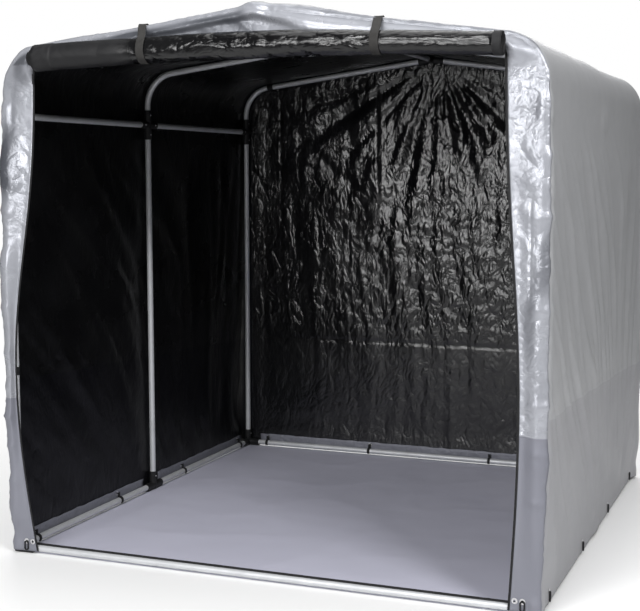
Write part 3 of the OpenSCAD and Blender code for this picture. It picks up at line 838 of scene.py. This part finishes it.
def rollAt(x, turn):
    # turn counts windings from the outside in; below 0 is the length that hangs from the gable
    centre = Vector((x, roll["y"], rollHeight(x)))
    inner = roll["core"] + (rollRadius(x) - roll["core"]) * (1 - clamp(turn / rollTurns))
    lead = max(0.0, -turn)
    a = roll["start"] - max(0.0, turn) * 2 * pi
    middle = ease(-0.50, -0.36, x) * (1 - 0.75 * ease(0.40, 0.52, x))
    low = 0.25 + 0.75 * fade(-0.35, 0.35, sin(a))
    rough = roll["soft"] * wave(x * 6, cos(a) * 1.3, sin(a) * 1.3)
    rough += middle * low * roll["crinkle"] * (crease(x * 11 + wave(x * 7, a), a * 0.9, 2.0, 2) - 0.55)
    rough += middle * low * roll["fine"] * (crease(x * 29, a * 2.1, 7.0, 2) - 0.55)
    inner += rough * (1 - clamp(turn / 2.5)) * fade(0.0, 0.02, lead)
    spot = centre + Vector((0, inner * cos(a), inner * sin(a)))
    if lead > 0:
        top = Vector((x, frontY + roll["leadIn"], door["top"] + roll["leadUp"]))
        spot = spot.lerp(top, clamp(lead / roll["lead"]))
    spot.x -= roll["slip"] * ease(0.38, 0.60, turn / rollTurns)  # the inner windings slipped to the left
    return spot


def rollBusy(c):
    return 0.35 + 0.65 * ease(-0.50, -0.36, c.x) * (1 - 0.6 * ease(0.42, 0.52, c.x))


sides = roll["sidesPerTurn"]
turnStops = [-roll["lead"], -roll["lead"] / 2] + [k / sides for k in range(int(rollTurns * sides) + 1)]
leftStops = [roll["left"] + far for far in roll["leftStops"]]
rightStops = [roll["right"] - far for far in roll["rightStops"]]
rollAcross = spread([(roll["left"], 0), (leftStops[0], 5), (leftStops[1], 5),
                     (rightStops[0], 116), (rightStops[1], 5), (roll["right"], 3)])
bm = newSheet(rollAcross, turnStops, rollAt, lambda c: c - Vector((c.x, roll["y"], roll["midZ"])),
              flatAt=lambda x, turn: (x, turn * roll["perTurn"]), busyAt=rollBusy)
for f in bm.faces:
    at = f.calc_center_median().x
    if at - roll["left"] < roll["leftBand"] or roll["right"] - at < roll["rightBand"]:
        f.material_index = 2
rolledDoor = newPiece("rolledDoor", bm, [doorBlack, silverFront, zipBlack], ["rolled_door"])
thicken(rolledDoor, roll["thick"], -1.0, 1, 0)
print("rolled door made:", len(rolledDoor.data.polygons), "faces")

# straps that hold the roll
strap = {"width": 0.030, "thickness": 0.0016, "steps": 90, "hoopGap": 0.0035, "rollGap": 0.0032,
         "from": radians(62), "to": radians(322), "cup": 0.0007, "twist": 0.0012,
         "tail": ((-0.0035, -0.015), (-0.0030, 0.012))}


def strapPath(x):
    # side view of a strap: over the front hoop, down to the roll, round its front and up behind it
    hoopAt = Vector((-halfD, archTop(x)))
    hoopR = sheetOut + coverPuff(x / cos(roofPitch), -halfD) + strap["hoopGap"]
    rollC, rollR = Vector((roll["y"], rollHeight(x))), rollRadius(x) + strap["rollGap"]
    way = rollC - hoopAt
    leave = atan2(way.y, way.x) - acos((hoopR - rollR) / way.length) + 2 * pi
    points = []
    for k in range(9):
        a = strap["from"] + (leave - strap["from"]) * k / 8
        points.append(hoopAt + hoopR * Vector((cos(a), sin(a))))
    for k in range(31):
        a = leave + (strap["to"] - leave) * k / 30
        points.append(rollC + rollR * Vector((cos(a), sin(a))))
    return points + [Vector((frontY + y, rollC.y + z)) for y, z in strap["tail"]]


def alongPath(points, d):
    for a, b in zip(points, points[1:]):
        step = (b - a).length
        if d <= step:
            return a.lerp(b, d / step), (b - a).normalized()
        d -= step
    return points[-1], (points[-1] - points[-2]).normalized()


def makeStrap(name, node, x, lean):
    points = strapPath(x)
    total = sum((b - a).length for a, b in zip(points, points[1:]))
    half = strap["width"] / 2

    def strapAt(u, d):
        spot, way = alongPath(points, min(d, total - 1e-5))
        aside = lean * (2 * ease(0.0, 0.45, d / total) - 1)
        rise = strap["cup"] * (u / half) ** 2 + strap["twist"] * wave(d * 30, u * 20, x)
        return Vector((x + u + aside, spot.x + way.y * rise, spot.y - way.x * rise))

    bm = newSheet(spread([(-half, 0), (half, 6)]), spread([(0.0, 0), (total, strap["steps"])]), strapAt,
                  lambda c: Vector((0, c.y - roll["y"] + 0.03, c.z - roll["midZ"])))
    piece = newPiece(name, bm, [webbing], [node])
    thicken(piece, strap["thickness"], 0.0)


makeStrap("leftDoorStrap", "left_door_strap", roll["straps"][0] + 0.008, 0.024)
makeStrap("rightDoorStrap", "right_door_strap", roll["straps"][1] + 0.006, 0.010)
print("door straps made")

# zips down both door edges and along the sill
zips = {"tape": 0.009, "thick": 0.0012, "lap": 0.0015, "step": 0.010, "foot": 0.012, "headGap": 0.004,
        "tooth": (0.0028, 0.0026, 0.0022), "pitch": 0.0046, "toothIn": 0.0022, "toothOut": 0.0006,
        "seatIn": 0.0004, "ahead": 0.004, "sillX": 0.92, "sillY": 0.0010, "sillZ": 0.0318}


def zipEdge(side):
    def spotAt(z):
        if z > bendZ:
            return Vector((side * doorEdge(z, side), frontY, z))
        return frontAt(side * (roofL + bendZ - z), 1.0) + Vector((0, zips["seatIn"], 0))
    return spotAt


def sillSpot(x):
    return Vector((x, -halfD - zips["sillY"], zips["sillZ"]))


def addTooth(bm, at, way, face):
    # one small block, lying across the zip
    made = bmesh.ops.create_cube(bm, size=1)
    turn = Matrix((way.cross(face).normalized(), way, face)).transposed().to_4x4()
    sized = turn @ Matrix.Diagonal((*zips["tooth"], 1))
    bmesh.ops.transform(bm, verts=made["verts"], matrix=Matrix.Translation(at) @ sized)


def makeZip(name, node, spotAt, low, high, inward):
    face = Vector((0, -1, 0))
    bm = bmesh.new()
    steps = round((high - low) / zips["step"])
    made = bmesh.ops.create_grid(bm, x_segments=2, y_segments=steps, size=1)
    for v in made["verts"]:
        u, t = (v.co.x + 1) / 2, (v.co.y + 1) / 2
        v.co = spotAt(low + (high - low) * t) + inward * (zips["tape"] * u - zips["lap"])
    bmesh.ops.recalc_face_normals(bm, faces=bm.faces[:])
    bmesh.ops.solidify(bm, geom=bm.faces[:], thickness=zips["thick"])
    for k in range(int((high - low) / zips["pitch"])):
        d = low + (k + 0.5) * zips["pitch"]
        at, ahead = spotAt(d), spotAt(min(high, d + zips["ahead"]))
        way = (ahead - at).normalized() if (ahead - at).length > 1e-6 else Vector((0, 0, 1))
        at = at + inward * (zips["tape"] - zips["toothIn"]) + face * zips["toothOut"]
        addTooth(bm, at, way, face)
    bmesh.ops.recalc_face_normals(bm, faces=bm.faces[:])
    newPiece(name, bm, [zipBlack], [node])


zipHead = door["top"] - zips["headGap"]
makeZip("leftZip", "left_zip", zipEdge(-1), zips["foot"], zipHead, Vector((1, 0, 0)))
makeZip("rightZip", "right_zip", zipEdge(1), zips["foot"], zipHead, Vector((-1, 0, 0)))
makeZip("sillZip", "sill_zip", sillSpot, -zips["sillX"], zips["sillX"], Vector((0, 0, 1)))

# slider and pull at the top of the left zip
pull = {"z": 1.758, "edgeZ": 1.70, "aside": 0.0045, "out": 0.003, "body": (0.010, 0.007, 0.015),
        "bodyEdge": 0.0015, "tab": (0.007, 0.0022, 0.026), "tabEdge": 0.0009,
        "tabAt": (0.001, -0.0055, -0.014)}


def addBlock(bm, centre, size, edge):
    made = bmesh.ops.create_cube(bm, size=1)
    sized = Matrix.Translation(centre) @ Matrix.Diagonal((*size, 1))
    bmesh.ops.transform(bm, verts=made["verts"], matrix=sized)
    edges = list(dict.fromkeys(e for v in made["verts"] for e in v.link_edges))
    bmesh.ops.bevel(bm, geom=edges, offset=edge, affect="EDGES", segments=2, profile=0.5, material=-1)


bm = bmesh.new()
slider = zipEdge(-1)(pull["edgeZ"]) + Vector((0, -pull["out"], pull["z"] - pull["edgeZ"]))
slider.x = -doorEdge(pull["z"], -1) + pull["aside"]
addBlock(bm, slider, pull["body"], pull["bodyEdge"])
addBlock(bm, slider + Vector(pull["tabAt"]), pull["tab"], pull["tabEdge"])
newPiece("leftZipPull", bm, [zipBlack])
print("zips made")

# screws that hold the tubes in their sockets
screw = {"radius": 0.0036, "top": 0.62, "height": 0.0016, "reach": 0.042, "slotIn": 0.0009,
         "slotDeep": 0.0007, "seat": 0.01545, "footZ": 0.01865}


def addScrew(bm, at, out):
    turn = out.to_track_quat("Z", "Y").to_matrix().to_4x4()
    seated = Matrix.Translation(at + out * screw["height"] / 2) @ turn
    made = bmesh.ops.create_cone(bm, cap_ends=True, segments=12, radius1=screw["radius"],
                                 radius2=screw["radius"] * screw["top"], depth=screw["height"],
                                 matrix=seated)
    faces = {f for v in made["verts"] for f in v.link_faces}
    top = max(faces, key=lambda f: f.calc_center_median().dot(out))
    bmesh.ops.inset_individual(bm, faces=[top], thickness=screw["slotIn"], depth=-screw["slotDeep"])


bm = bmesh.new()
reach = screw["reach"]
for side in (-1, 1):
    inward = Vector((-side, 0, 0))
    for y in (-halfD, 0.0, halfD):
        joint = Vector((side * halfW, y, eaveZ)) + inward * screw["seat"]
        for step in (1, -1):
            addScrew(bm, joint + Vector((0, 0, step * reach)), inward)
        for step in (-1, 1):
            if abs(y + step * reach) < halfD:  # an eave rail leaves the joint on this side
                addScrew(bm, joint + Vector((0, step * reach, 0)), inward)
        foot = Vector((side * halfW, y, screw["footZ"] + reach))
        addScrew(bm, foot + inward * screw["seat"], inward)
newPiece("jointScrews", bm, [steelTube])
print("screws made")

# finish of the pieces that keep their frame shape
finishes = {"steel_tube": steelTube, "joint_plastic": jointPlastic, "eyelet_metal": eyeletMetal,
            "elastic": elasticCord, "zip_tape": zipBlack}
for part in frame["record"]["subparts"]:
    finish = finishes.get(part["material_slot"])
    if finish:
        mesh = nodes[part["node"]].data
        mesh.materials.clear()
        mesh.materials.append(finish)
print("frame pieces finished")

# camera as in the photograph
shot = {"at": (1.8137, -4.8673, 1.4207), "yaw": 0.355500, "pitch": 0.105770, "roll": 0.0027016,
        "lens": 70.60, "sensor": 36, "shiftX": -0.0625}
tilt = cos(shot["pitch"])
ahead = Vector((-sin(shot["yaw"]) * tilt, cos(shot["yaw"]) * tilt, -sin(shot["pitch"])))
level = Vector((cos(shot["yaw"]), sin(shot["yaw"]), 0))
above = level.cross(ahead)
rightWay = level * cos(shot["roll"]) + above * sin(shot["roll"])
upWay = above * cos(shot["roll"]) - level * sin(shot["roll"])
camera = bpy.data.objects.new("camera", bpy.data.cameras.new("camera"))
camera.data.lens = shot["lens"]
camera.data.sensor_width = shot["sensor"]
camera.data.shift_x = shot["shiftX"]
camera.matrix_world = Matrix.Translation(shot["at"]) @ Matrix((rightWay, upWay, -ahead)).transposed().to_4x4()
scene.collection.objects.link(camera)
scene.camera = camera

# pale floor that fades out round the part, white behind it, and soft light
floor = {"size": 12, "z": -0.0005, "colour": (0.90, 0.90, 0.90, 1), "rough": 0.9,
         "fade": (1.5, 6.0)}
bm = bmesh.new()
bmesh.ops.create_grid(bm, x_segments=1, y_segments=1, size=floor["size"])
floorMesh = bpy.data.meshes.new("studioFloor")
bm.to_mesh(floorMesh)
bm.free()
studioFloor = bpy.data.objects.new("studioFloor", floorMesh)
studioFloor.location.z = floor["z"]
scene.collection.objects.link(studioFloor)
paleFloor, floorTree, floorShader = newMaterial("paleFloor")
floorShader.inputs["Base Color"].default_value = floor["colour"]
floorShader.inputs["Roughness"].default_value = floor["rough"]
floorAt = addNode(floorTree, "ShaderNodeTexCoord").outputs["Object"]
away = vectorMaths(floorTree, "LENGTH", floorAt)["Value"]
shown = mapRange(floorTree, away, *floor["fade"], 1.0, 0.0, interpolation_type="SMOOTHSTEP")
feed(floorTree, floorShader.inputs["Alpha"], shown)
floorMesh.materials.append(paleFloor)

world = bpy.data.worlds.new("studio")
world.use_nodes = True
skyTree = world.node_tree
dimSky = skyTree.nodes["Background"]
dimSky.inputs[0].default_value = (1, 1, 1, 1)
dimSky.inputs[1].default_value = 0.10
whiteSky = addNode(skyTree, "ShaderNodeBackground")
whiteSky.inputs[0].default_value = (1, 1, 1, 1)
skyMix = addNode(skyTree, "ShaderNodeMixShader")
feed(skyTree, skyMix.inputs[0], addNode(skyTree, "ShaderNodeLightPath").outputs["Is Camera Ray"])
feed(skyTree, skyMix.inputs[1], dimSky.outputs[0])
feed(skyTree, skyMix.inputs[2], whiteSky.outputs[0])
feed(skyTree, skyTree.nodes["World Output"].inputs["Surface"], skyMix.outputs[0])
scene.world = world


def areaLight(name, at, aim, size, power):
    lamp = bpy.data.lights.new(name, "AREA")
    lamp.shape = "RECTANGLE"
    lamp.size, lamp.size_y = size
    lamp.energy = power
    light = bpy.data.objects.new(name, lamp)
    light.location = at
    light.rotation_euler = (Vector(aim) - Vector(at)).to_track_quat("-Z", "Y").to_euler()
    scene.collection.objects.link(light)


areaLight("highFront", (0.2, -5.0, 4.4), (0.0, 0.0, 0.6), (2.6, 0.7), 175)
areaLight("lowFront", (-1.1, -5.8, 1.9), (0.1, 0.6, 1.1), (1.8, 1.4), 118)
areaLight("rightSide", (3.7, -3.3, 3.6), (0.9, 0.1, 1.3), (1.3, 1.3), 148)
areaLight("overhead", (0.5, 1.0, 5.5), (0.3, 1.0, 0), (7.0, 4.6), 205)
areaLight("rear", (-1.2, 6.2, 3.4), (0.0, 0.9, 1.0), (3.5, 2.5), 140)
areaLight("leftSide", (-4.6, 4.4, 2.6), (-0.9, 0.1, 0.9), (1.6, 1.6), 120)
scene.view_settings.view_transform = "Standard"
print("camera, floor and light made")
